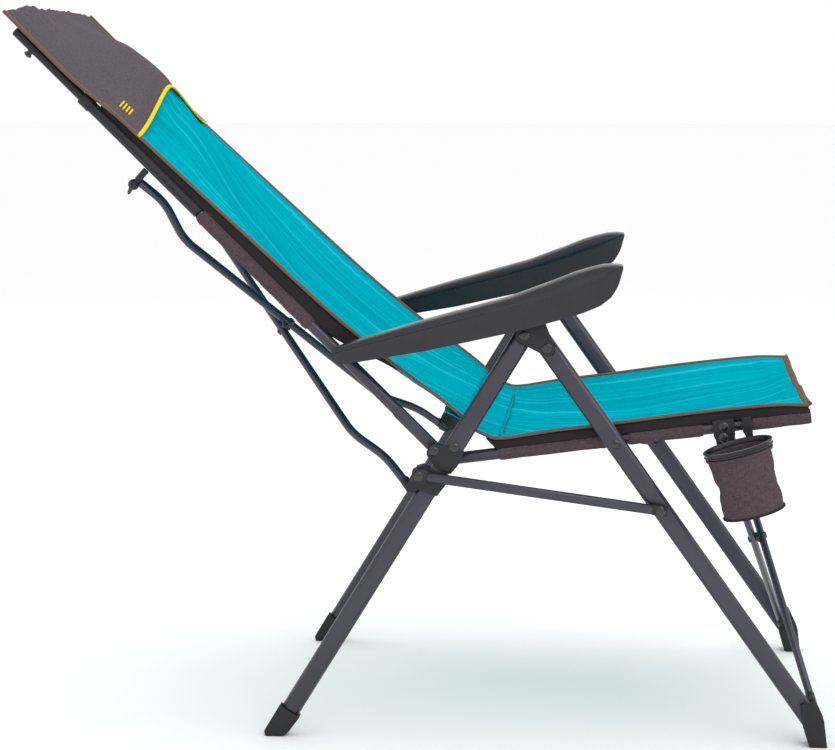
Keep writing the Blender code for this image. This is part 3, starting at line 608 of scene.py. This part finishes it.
def rivets(word, side):
    outward = ACROSS * side
    dome = [(-0.0030, 0.0030), (-0.0004, 0.0030), (-0.0004, 0.0074), (0.0006, 0.0074), (0.0015, 0.0064),
            (0.0023, 0.0046), (0.0027, 0.0024), (0.0022, 0.0018), (0.0022, 0.0006)]
    for node, body in ((word + "_front_hinge_rivet", "_front_leg_frame"), (word + "_rear_hinge_rivet", "_bracket"),
                       (word + "_link_rivet", "_front_leg_frame"), (word + "_rail_rivet", "_front_leg_frame"),
                       (word + "_recline_cap", "_upper_slider")):
        low, high = (Vector(v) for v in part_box(node))
        centre = (low + high) / 2
        centre.x = (high.x if side > 0 else low.x) - side * 0.0026
        head = turned(node + "_head", centre, outward, dome, "rivet")
        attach(head, word + body)
        inner = Vector(centre)
        inner.x = low.x if side > 0 else high.x
        if node.endswith("_cap"):
            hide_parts(node)
            continue
        tail = turned(node + "_tail", inner + outward * 0.0022, -outward,
                      [(-0.0150, 0.0030), (0.0, 0.0030), (0.0, 0.0056), (0.0012, 0.0052), (0.0021, 0.0036)], "rivet")
        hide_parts(node)
        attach(tail, word + body)
    slider_low, slider_high = (Vector(v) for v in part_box(word + "_upper_slider"))
    down_leg = Vector(JOINTS[word + "_upper_slide"]["axis"])
    spot = pivot(word + "_rail_fold") - down_leg * 0.027
    spot.x = slider_high.x if side > 0 else slider_low.x
    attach(turned(word + "_slider_rivet", spot, outward, dome, "rivet"), word + "_upper_slider")
    start, end = sorted(bar_ends(word + "_side_link"), key=lambda p: -p.y)
    tail_point = start + (end - start).normalized() * 0.010
    tail_point.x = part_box(word + "_side_link")[1 if side > 0 else 0][0]
    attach(turned(word + "_link_tail_rivet", tail_point, outward, dome, "rivet"), word + "_link")
    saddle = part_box(word + "_rail_bracket")
    for label, share in (("upper", 0.30), ("lower", 0.68)):
        spot = Vector((saddle[1 if side > 0 else 0][0], (saddle[0][1] + saddle[1][1]) / 2,
                       saddle[1][2] + (saddle[0][2] - saddle[1][2]) * share))
        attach(turned(f"{word}_saddle_{label}_rivet", spot, outward, dome, "rivet"), word + "_rail")


def mouldings(word):
    for node, body, material, bevel in (
            ("_armrest_bracket", "_bracket", "joint", 0.0007), ("_upper_slider", "_upper_slider", "joint", 0.0012),
            ("_lower_slider", "_lower_slider", "joint", 0.0012), ("_front_foot", "_front_foot", "foot", 0.0018),
            ("_rear_foot", "_rear_leg", "foot", 0.0022), ("_rail_bracket", "_rail", "joint", 0.0006),
            ("_stop_plate", "_stop_plate", "paint", 0.0002)):
        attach(refined(word + node, material, bevel), word + body)
    for node, body in (("_brace_arm", "_back"), ("_brace_socket", "_brace_socket")):
        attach(refined(word + node, "joint", 0.0006), word + body)


# ---------------------------------------------------------------- soft parts

SEAT_HALF = 0.2765


def smooth_step(value):
    value = min(1.0, max(0.0, value))
    return value * value * (3 - 2 * value)


def spline(keys, count):
    """Evenly read Catmull-Rom curve through side-view points."""
    points = [2 * keys[0] - keys[1]] + list(keys) + [2 * keys[-1] - keys[-2]]
    dense = []
    for p0, p1, p2, p3 in zip(points, points[1:], points[2:], points[3:]):
        for i in range(16):
            t = i / 16
            dense.append(0.5 * (2 * p1 + (p2 - p0) * t + (2 * p0 - 5 * p1 + 4 * p2 - p3) * t * t +
                                (3 * p1 - p0 - 3 * p2 + p3) * t ** 3))
    dense.append(keys[-1].copy())
    lengths = [0.0]
    for a, b in zip(dense, dense[1:]):
        lengths.append(lengths[-1] + (b - a).length)
    result = []
    k = 0
    for i in range(count + 1):
        want = lengths[-1] * i / count
        while k < len(dense) - 2 and lengths[k + 1] < want:
            k += 1
        span = max(lengths[k + 1] - lengths[k], 1e-9)
        result.append(dense[k].lerp(dense[k + 1], (want - lengths[k]) / span))
    return result, lengths[-1]


def around_recline(angle, radius):
    turn = math.radians(angle)
    return RECLINE + Vector((0, -math.cos(turn), math.sin(turn))) * radius


def rail_point(distance, height):
    return RAIL_END + RAIL_DIRECTION * distance + RAIL_UP * height


def back_point(distance, height):
    return RECLINE + BACK_DIRECTION * distance + BACK_FRONT * height


def seat_keys():
    """Side view of the seat, from under the back's lower edge to the front bar."""
    arc = [around_recline(angle, 0.0590) for angle in (76, 66, 55)]
    turn = [back_point(t, h) for t, h in ((0.004, 0.0600), (-0.024, 0.0640), (-0.042, 0.0705), (-0.053, 0.0765))]
    flat = [rail_point(d, h) for d, h in ((0.101, 0.0225), (0.127, 0.0236), (0.170, 0.0250), (0.250, 0.0250),
                                         (0.350, 0.0262), (0.430, 0.0258), (0.500, 0.0235),
                                         (RAIL_LENGTH + 0.002, 0.0175))]
    return arc + turn + flat


STAND_OFFS = ((0.014, 0.0632), (0.045, 0.0600), (0.082, 0.0546), (0.141, 0.0460), (0.190, 0.0405), (0.240, 0.0360),
              (0.300, 0.0325), (0.400, 0.0285), (0.500, 0.0245), (0.580, 0.0215), (0.655, 0.0188),
              (0.715, 0.0165))


def back_stand_off(t):
    """How far the sling's edge stands in front of the back tube, at a distance up the tube."""
    for (t0, h0), (t1, h1) in zip(STAND_OFFS, STAND_OFFS[1:]):
        if t <= t1:
            return h0 + (h1 - h0) * max(0.0, t - t0) / (t1 - t0)
    return STAND_OFFS[-1][1]


def back_keys():
    return [around_recline(42, 0.0640)] + [back_point(t, h) for t, h in STAND_OFFS]


def tent(across):
    """Profile of the crowned upper back: a soft ridge in the middle, falling evenly to the edges."""
    ridge = 0.03
    fall = (math.sqrt(across * across + ridge) - math.sqrt(ridge)) / (math.sqrt(1 + ridge) - math.sqrt(ridge))
    return (1 - fall) ** 1.3


def back_rise(t, across):
    """How far the back stands in front of its edges: a sag low down and a crown above."""
    crown = 0.046 * smooth_step((t - 0.440) / 0.200)
    sag = 0.018 * smooth_step((t - 0.020) / 0.120) * (1 - smooth_step((t - 0.300) / 0.170))
    sag += 0.008 * (1 - smooth_step(t / 0.200))
    return crown * tent(across) - sag * (1 - across ** 2)


def seam_arch(across):
    """The headrest's lower seam stands higher in the middle of the back than at its edges."""
    return 0.053 * tent(across)


def sling_rows(keys, count, half, rise_at, ripple, columns=48):
    """Rows of points across the chair; the middle stands above or below the edges by rise_at."""
    line, length = spline(keys, count)
    rows = []
    for i, point in enumerate(line):
        before = line[max(i - 1, 0)]
        after = line[min(i + 1, count)]
        facing = (after - before).normalized().cross(ACROSS)
        facing = facing if facing.z > 0 else -facing
        row = []
        for k in range(columns + 1):
            t = 2 * k / columns - 1
            rise = rise_at(point, i / count, t)
            wave = ripple(t, i / count, length) * (1 - t ** 6)
            row.append(on_side(point + facing * (rise + wave), t * half))
        rows.append(row)
    return rows, line, length


def sling_ripple(seed, amount):
    """Long soft folds that run with the chair, and short ones where the sling turns."""
    def ripple(t, v, length):
        fine = noise.noise(Vector((t * 9.0, v * length * 3.0, seed)))
        long_fold = noise.noise(Vector((t * 4.0 + seed, v * length * 1.4, 2.0 + seed)))
        return amount * (0.45 * fine + long_fold)
    return ripple


def open_sheet(name, rows, material):
    return rings_mesh(name, rows, material, closed_loop=False, capped=False, smooth=180.0)


def thicken(item, thickness):
    skin = item.modifiers.new("skin", "SOLIDIFY")
    skin.thickness = thickness
    skin.offset = -1.0
    return apply_modifiers(item)


def drape(item, pinned, frames=14):
    """Short cloth simulation of the sewn sling, held along its pinned vertices."""
    group = item.vertex_groups.new(name="held")
    group.add(pinned, 1.0, "REPLACE")
    settings = item.modifiers.new("cloth", "CLOTH")
    settings.settings.vertex_group_mass = "held"
    settings.settings.quality = 6
    settings.settings.mass = 0.25
    settings.settings.tension_stiffness = 35
    settings.settings.compression_stiffness = 25
    settings.settings.shear_stiffness = 12
    settings.settings.bending_stiffness = 0.35
    settings.settings.shrink_min = -0.006
    settings.settings.effector_weights.gravity = 0.15
    settings.point_cache.frame_start = 1
    settings.point_cache.frame_end = frames
    start = [vertex.co.copy() for vertex in item.data.vertices]
    scene = bpy.context.scene
    for number in range(1, frames + 1):
        scene.frame_set(number)
        bpy.context.view_layer.update()
    apply_modifiers(item)
    scene.frame_set(1)
    limit = 0.016
    for vertex, place in zip(item.data.vertices, start):
        move = vertex.co - place
        if move.length > limit:
            vertex.co = place + move.normalized() * limit
    item.data.shade_smooth()
    return item


def edge_binding(name, path, material="binding", width=0.0125, height=0.0046, normal=None):
    """Folded tape along an edge: a soft flat-oval bead that follows the path."""
    section = oval_loop(height, width, 6)
    rings = []
    for i, point in enumerate(path):
        before = path[max(i - 1, 0)]
        after = path[min(i + 1, len(path) - 1)]
        way = (after - before).normalized()
        face = normal(i) if normal else way.cross(ACROSS).normalized()
        face = (face - way * face.dot(way)).normalized()
        side = way.cross(face)
        rings.append([point + face * a + side * b for a, b in section])
    return rings_mesh(name, rings, material, smooth=60.0)


def edge_of(item_rows, column):
    return [row[column] for row in item_rows]


def shade_flap(name, top, bottom, material, bulge=0.0025):
    """Narrow fabric wall that joins the sling's edge to a sleeve below it; its dark material is painted shade for the
    shaded gap there.
    """
    rows = []
    for a, b in zip(top, bottom):
        outward = ACROSS * (1 if a.x > MIDDLE_X else -1)
        row = []
        for k in range(7):
            t = k / 6
            row.append(a.lerp(b, t) + outward * bulge * math.sin(math.pi * t))
        rows.append(row)
    return thicken(open_sheet(name, rows, material), 0.0012)


def sleeve(name, origin, direction, start, end, radius, body, seed):
    """Fabric sleeve sewn round a tube: snug, with small gathers and a turned hem at each end."""
    rings = []
    count = max(24, int((end - start) / 0.004))
    up = direction.cross(ACROSS).normalized()
    up = up if up.z > 0 else -up
    for i in range(count + 1):
        t = i / count
        place = origin + direction * (start + (end - start) * t)
        hem = 0.0006 if t < 0.05 or t > 0.95 else 0.0
        close = min(1.0, min(t, 1 - t) * count / 1.5)
        ring = []
        for k in range(28):
            angle = 2 * math.pi * k / 28
            along = (t * (end - start)) * 45 + seed
            fold = noise.noise(Vector((math.cos(angle) * 1.3, math.sin(angle) * 1.3, along)))
            size = (radius - 0.0012 + 0.0012 * close) + hem + fold * 0.0007
            ring.append(place + ACROSS * math.cos(angle) * size + up * math.sin(angle) * size * 1.04)
        rings.append(ring)
    item = rings_mesh(name, rings, "sleeve", smooth=60.0)
    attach(item, body)
    return item


def soft_fold(item, body):
    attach(item, body)
    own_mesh(item)
    return item


def pinned_rim(rows):
    columns = len(rows[0])
    return [i * columns + k for i in range(len(rows)) for k in range(columns)
            if k < 3 or k >= columns - 3 or i < 2 or i >= len(rows) - 2]


def build_seat():
    def rise(point, v, across):
        return (-0.008 - 0.022 * math.sin(math.pi * smooth_step((v - 0.18) / 0.82) ** 0.8)) * (1 - across ** 2)

    rows, line, length = sling_rows(seat_keys(), 84, SEAT_HALF, rise, sling_ripple(3.7, 0.0030))
    panel = open_sheet("seat_sling", rows, "teal")
    drape(panel, pinned_rim(rows))
    thicken(panel, 0.0020)
    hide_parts("seat_fabric")
    first = next(i for i, point in enumerate(line) if (point - RECLINE).angle(BACK_DIRECTION) > math.radians(86))
    trims = []
    for word, column in (("right", 0), ("left", -1)):
        edge = edge_of(rows, column)[first:]
        trims.append(edge_binding(f"seat_{word}_binding", edge, width=0.0110,
                                  normal=lambda i, e=edge: tape_facing(e, i)))
        trims.append(seat_shade_flap(word, edge))
    trims.append(edge_binding("seat_front_binding", rows[-1], width=0.0130, height=0.0050,
                              normal=lambda i: RAIL_UP - RAIL_DIRECTION * 0.5))
    trims.append(seat_seam(rows, line))
    for item in trims:
        soft_fold(item, "right_rail")
    soft_fold(panel, "right_rail")


def tape_facing(path, i):
    before = path[max(i - 1, 0)]
    after = path[min(i + 1, len(path) - 1)]
    face = (after - before).normalized().cross(ACROSS).normalized()
    return face if face.z > 0 else -face


def seat_shade_flap(word, edge):
    """Fabric wall from the seat's edge down to the rail sleeves, over the rail's length, coloured near-black as
    painted shade for the shaded gap under the edge.
    """
    side = -1 if word == "right" else 1
    top = []
    bottom = []
    for point in edge:
        distance = (point - RAIL_END).dot(RAIL_DIRECTION)
        height = (point - RAIL_END).dot(RAIL_UP)
        if distance < 0.060:
            continue
        top.append(on_side(point - RAIL_UP * 0.0015, side * (SEAT_HALF + 0.0005)))
        low = 0.0070 - 0.0030 * smooth_step((distance - RAIL_LENGTH + 0.040) / 0.030)
        low = max(low, (height - 0.0040) * (1 - smooth_step((distance - 0.060) / 0.030)))
        bottom.append(on_side(rail_point(distance, low), side * (RAIL_X + 0.0078)))
    return shade_flap(f"seat_{word}_flap", top, bottom, "dark_piping_and_painted_shade")


def seat_seam(rows, line):
    """Raised double seam across the sling where seat and back panels are sewn together."""
    row = min(range(len(line)), key=lambda i: (line[i] - rail_point(0.086, 0.025)).length)
    path = [point + RAIL_UP * 0.0008 for point in rows[row]][2:-2]
    return edge_binding("seat_seam", path, "thread", width=0.0042, height=0.0016, normal=lambda i: RAIL_UP)


def build_back():
    def rise(point, v, across):
        return back_rise((point - RECLINE).dot(BACK_DIRECTION), across)

    rows, line, length = sling_rows(back_keys(), 84, SEAT_HALF, rise, sling_ripple(8.1, 0.0034))
    panel = open_sheet("back_sling", rows, "teal")
    drape(panel, pinned_rim(rows))
    thicken(panel, 0.0020)
    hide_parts("back_fabric")
    trims = []
    for word, column in (("right", 0), ("left", -1)):
        edge = edge_of(rows, column)
        trims.append(edge_binding(f"back_{word}_binding", edge, width=0.0110,
                                  normal=lambda i, e=edge: tape_facing(e, i)))
        trims.append(back_shade_flap(word, edge))
    for item in trims:
        soft_fold(item, "right_back")
    soft_fold(panel, "right_back")


def back_shade_flap(word, edge):
    """Fabric wall from the back's edge down to its tube sleeve, narrow above and below it, coloured near-black as
    painted shade for the shaded gap beside the tube.
    """
    side = -1 if word == "right" else 1
    top = []
    bottom = []
    for point in edge:
        distance = (point - RECLINE).dot(BACK_DIRECTION)
        if distance < 0.120:
            continue
        near = 1 - smooth_step((0.262 - distance) / 0.140)
        drop = (back_stand_off(distance) - 0.0060) * (1 - max(near, 0.0)) + 0.0060 * max(near, 0.0)
        top.append(on_side(point - BACK_FRONT * 0.0015, side * (SEAT_HALF + 0.0004)))
        bottom.append(on_side(back_point(distance, drop), side * (SEAT_HALF - 0.0010)))
    return shade_flap(f"back_{word}_flap", top, bottom, "dark_piping_and_painted_shade", bulge=0.0015)


def build_sleeves():
    for word, side in SIDES:
        rail = on_side(RAIL_END, side * RAIL_X)
        for number, (start, end) in enumerate(((0.080, 0.246), (0.276, 0.388), (0.458, RAIL_LENGTH + 0.004))):
            sleeve(f"{word}_seat_sleeve_{number + 1}", rail, RAIL_DIRECTION, start, end, 0.0106, word + "_rail",
                   number * 3.0 + side)
        back = on_side(RECLINE, side * RAIL_X)
        sleeve(f"{word}_back_sleeve", back, BACK_DIRECTION, 0.264, 0.496, 0.0106, word + "_back", 9.0 + side)


def build_headrest():
    """Padded pocket over the tips of the back tubes, crowned, with gathers along its top."""
    half = 0.2835
    start, end = 0.646, BACK_LENGTH + 0.0300
    columns, count = 64, 44
    front, rear = [], []
    for i in range(count + 1):
        v = i / count
        distance = start + (end - start) * v
        roll = smooth_step((v - 0.93) / 0.07)
        edge_height = 0.0205 - 0.0110 * smooth_step(v / 0.55) + 0.0010 * v
        crown = 0.046 - 0.038 * smooth_step((v - 0.40) / 0.60)
        front_row, rear_row = [], []
        for k in range(columns + 1):
            t = 2 * k / columns - 1
            edge = 1 - abs(t) ** 8
            rise = crown * tent(t)
            puckers = noise.noise(Vector((t * 9.0, 3.0, 2.0)))
            gather = smooth_step((v - 0.60) / 0.40) * (0.0065 * noise.noise(Vector((t * 11.0, v * 2.0, 9.0))) +
                                                       0.0110 * math.exp(-((t + 0.62) / 0.20) ** 2))
            crease = noise.noise(Vector((t * 7.0, v * 3.0, 5.0)))
            crease += 0.5 * noise.noise(Vector((t * 19.0, v * 6.0, 1.0)))
            up_back = distance + seam_arch(t) * (1 - smooth_step(v / 0.8))
            sewn = back_stand_off(up_back) + 0.0010
            middle = back_point(up_back, sewn + (edge_height - sewn) * smooth_step(v / 0.15) + rise)
            puff = (0.0030 + 0.0035 * math.sin(math.pi * v)) * edge * (1 - roll * 0.6) * smooth_step(v / 0.12)
            ragged = BACK_DIRECTION * (0.0055 * puckers * smooth_step((v - 0.8) / 0.2))
            lift = 0.0020 * crease * edge * math.sin(math.pi * min(1, v * 1.5)) ** 0.5 + gather * edge
            front_row.append(on_side(middle + BACK_FRONT * (puff + lift) + ragged, t * half))
            behind = BACK_FRONT * (lift * 0.6 - puff - 0.0050 * edge - 0.001)
            rear_row.append(on_side(middle + behind + ragged, t * half))
        front.append(front_row)
        rear.append(rear_row)
    rings = [a + list(reversed(b)) for a, b in zip(front, rear)]
    pad = rings_mesh("headrest_pad", rings, "head", smooth=70.0)
    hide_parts("headrest")
    trims = []
    for word, column in (("right", 0), ("left", -1)):
        trims.append(edge_binding(f"headrest_{word}_binding", [row[column] for row in front], width=0.0105,
                                  height=0.0050, normal=lambda i: BACK_FRONT))
    stripe = [point + BACK_FRONT * 0.0008 - BACK_DIRECTION * 0.0022 for point in front[0]]
    trims.append(edge_binding("headrest_piping", stripe, "yellow", width=0.0064, height=0.0036,
                              normal=lambda i: BACK_FRONT))
    trims += embroidery(front)
    for item in trims:
        soft_fold(item, "right_back")
    soft_fold(pad, "right_back")


def embroidery(front):
    """Small generic motif: raised satin-stitch bars near the lower right corner."""
    bars = []
    for number in range(4):
        row = front[5 + number]
        path = [row[k] + BACK_FRONT * 0.0010 for k in range(4, 8)]
        bars.append(edge_binding(f"headrest_stitch_{number + 1}", path, "yellow", width=0.0030, height=0.0018,
                                 normal=lambda i: BACK_FRONT))
    return bars


def build_cup_holder():
    """Moulded rim, and a soft fabric cup that creases under it, with a piped base."""
    ring_low, ring_high = (Vector(v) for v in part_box("cup_ring"))
    centre = (ring_low + ring_high) / 2
    radius = (ring_high.x - ring_low.x) / 2
    tilt = math.radians(15.0)
    axis = Vector((0, math.sin(tilt), math.cos(tilt)))
    front = axis.cross(ACROSS)
    sides = 72

    def around(angle, size, height):
        return centre + axis * height + (ACROSS * math.cos(angle) + front * math.sin(angle)) * size

    profile = [(-0.0050, -0.0042), (-0.0050, 0.0030), (-0.0042, 0.0042), (-0.0020, 0.0048), (0.0, 0.0040),
               (0.0, 0.0022), (-0.0012, 0.0014), (-0.0012, -0.0012), (0.0, -0.0020), (0.0, -0.0038),
               (-0.0014, -0.0046)]
    rings = [[around(2 * math.pi * i / sides, radius + r, h) for i in range(sides)] for r, h in profile]
    rings.append(rings[0])
    rim = rings_mesh("cup_rim", rings, "armrest", capped=False, smooth=34.0)
    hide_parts("cup_ring")
    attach(rim, "right_rail")
    depth = 0.0940
    levels = 36
    wall = []
    for j in range(levels + 1):
        v = j / levels
        ring = []
        for i in range(sides):
            angle = 2 * math.pi * i / sides
            crease = noise.noise(Vector((math.cos(angle) * 2.0, math.sin(angle) * 2.0, v * 4.5 + 3.0)))
            sharp = noise.noise(Vector((math.cos(angle) * 4.5, math.sin(angle) * 4.5, v * 9.0)))
            size = radius - 0.0040 - 0.0030 * v - 0.0035 * math.sin(math.pi * v) ** 2
            size += (0.0042 * crease + 0.0020 * sharp) * math.sin(math.pi * min(1, v * 1.02)) ** 0.5
            ring.append(around(angle, size, -0.0040 - depth * v))
        wall.append(ring)
    for shrink in (0.72, 0.36, 0.02):
        wall.append([centre + axis * (-0.0040 - depth) + (p - (centre + axis * (-0.0040 - depth))) * shrink
                     for p in wall[levels]])
    pouch = rings_mesh("cup_pouch_fabric", wall, "sleeve", capped=False, smooth=65.0)
    thicken(pouch, 0.0014)
    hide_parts("cup_pouch")
    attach(pouch, "right_rail")
    base = [around(2 * math.pi * i / sides, radius - 0.0066, -0.0040 - depth) for i in range(sides + 1)]
    piping = edge_binding("cup_base_piping", base, "dark_piping_and_painted_shade", width=0.0036, height=0.0036,
                          normal=lambda i: axis)
    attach(piping, "right_rail")
    lower_lip = [around(2 * math.pi * i / sides, radius - 0.0030, -0.0085) for i in range(sides + 1)]
    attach(edge_binding("cup_hem", lower_lip, "sleeve", width=0.0050, height=0.0026,
                         normal=lambda i: (lower_lip[i] - centre).normalized()), "right_rail")
    clip_low, clip_high = (Vector(v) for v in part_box("cup_bracket"))
    clip = refined("cup_bracket", "joint", 0.0008)
    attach(clip, "right_rail")
    neck_top = Vector((clip_low.x + 0.006, (clip_low.y + clip_high.y) / 2 - 0.002, clip_low.z + 0.004))
    neck_foot = around(0.0, radius - 0.003, 0.0)
    arm = tube("cup_arm", rounded_path([neck_top, neck_top - Vector((0, 0, 0.012)), neck_foot], 0.006, 4),
               oval_loop(0.0080, 0.0120, 6), "joint", Vector((0, 1, 0)))
    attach(arm, "right_rail")


# ---------------------------------------------------------------- scene

def build_camera():
    """Long lens from the chair's right side, slightly above, a little towards the front."""
    rear_sole = Vector(MOUNTS["right_rear_foot_sole"]["pos_m"])
    yaw = math.radians(4.23)
    pitch = math.radians(7.87)
    data = bpy.data.cameras.new("camera")
    data.sensor_width = 36.0
    data.lens = 101.3
    data.shift_x = -0.0449
    camera = bpy.data.objects.new("camera", data)
    bpy.context.scene.collection.objects.link(camera)
    camera.location = (MIDDLE_X - 3.7574, rear_sole.y - 0.5329, 1.0392)
    forward = Vector((math.cos(yaw) * math.cos(pitch), math.sin(yaw) * math.cos(pitch), -math.sin(pitch)))
    camera.rotation_mode = "QUATERNION"
    camera.rotation_quaternion = forward.to_track_quat("-Z", "Y")
    data.clip_end = 60.0
    bpy.context.scene.camera = camera


def area_light(name, place, target, size, power, color=(1, 1, 1)):
    data = bpy.data.lights.new(name, "AREA")
    data.shape = "RECTANGLE"
    data.size = size[0]
    data.size_y = size[1]
    data.energy = power
    data.color = color
    lamp = bpy.data.objects.new(name, data)
    bpy.context.scene.collection.objects.link(lamp)
    lamp.location = place
    lamp.rotation_mode = "QUATERNION"
    lamp.rotation_quaternion = (Vector(target) - Vector(place)).to_track_quat("-Z", "Y")


def build_studio():
    world = bpy.data.worlds.new("studio")
    world.use_nodes = True
    world.node_tree.nodes["Background"].inputs["Color"].default_value = (1.0, 1.0, 1.0, 1.0)
    world.node_tree.nodes["Background"].inputs["Strength"].default_value = 1.0
    bpy.context.scene.world = world
    bpy.context.scene.view_settings.view_transform = "Standard"
    area_light("key_light", (-2.6, -1.6, 3.2), (0, 0, 0.5), (2.2, 2.2), 30)
    area_light("front_light", (-1.0, -3.4, 1.8), (0, 0, 0.5), (2.0, 1.6), 10)
    area_light("top_light", (0.6, 0.4, 3.6), (0, 0, 0.5), (2.6, 2.6), 34)
    bpy.ops.mesh.primitive_plane_add(size=60, location=(0, 0, -0.0005))
    floor = bpy.context.object
    floor.name = "studio_floor"
    shader = Shader("floor_paper", (0.97, 0.97, 0.97), 0.85, Specular_IOR_Level=0.1)
    shader.vary("Roughness", shader.noise("Object", (3, 3, 3), 2.0), 0.80, 0.90)
    floor.data.materials.append(shader.material)


for WORD, SIDE in SIDES:
    leg_tube(WORD, "front", WORD + "_front_leg_frame")
    leg_tube(WORD, "rear", WORD + "_rear_leg")
    side_tubes(WORD, SIDE)
    side_link(WORD)
    armrest(WORD)
    rivets(WORD, SIDE)
    mouldings(WORD)
front_braces()
rear_braces()
build_seat()
build_back()
build_headrest()
build_sleeves()
build_cup_holder()
build_camera()
build_studio()
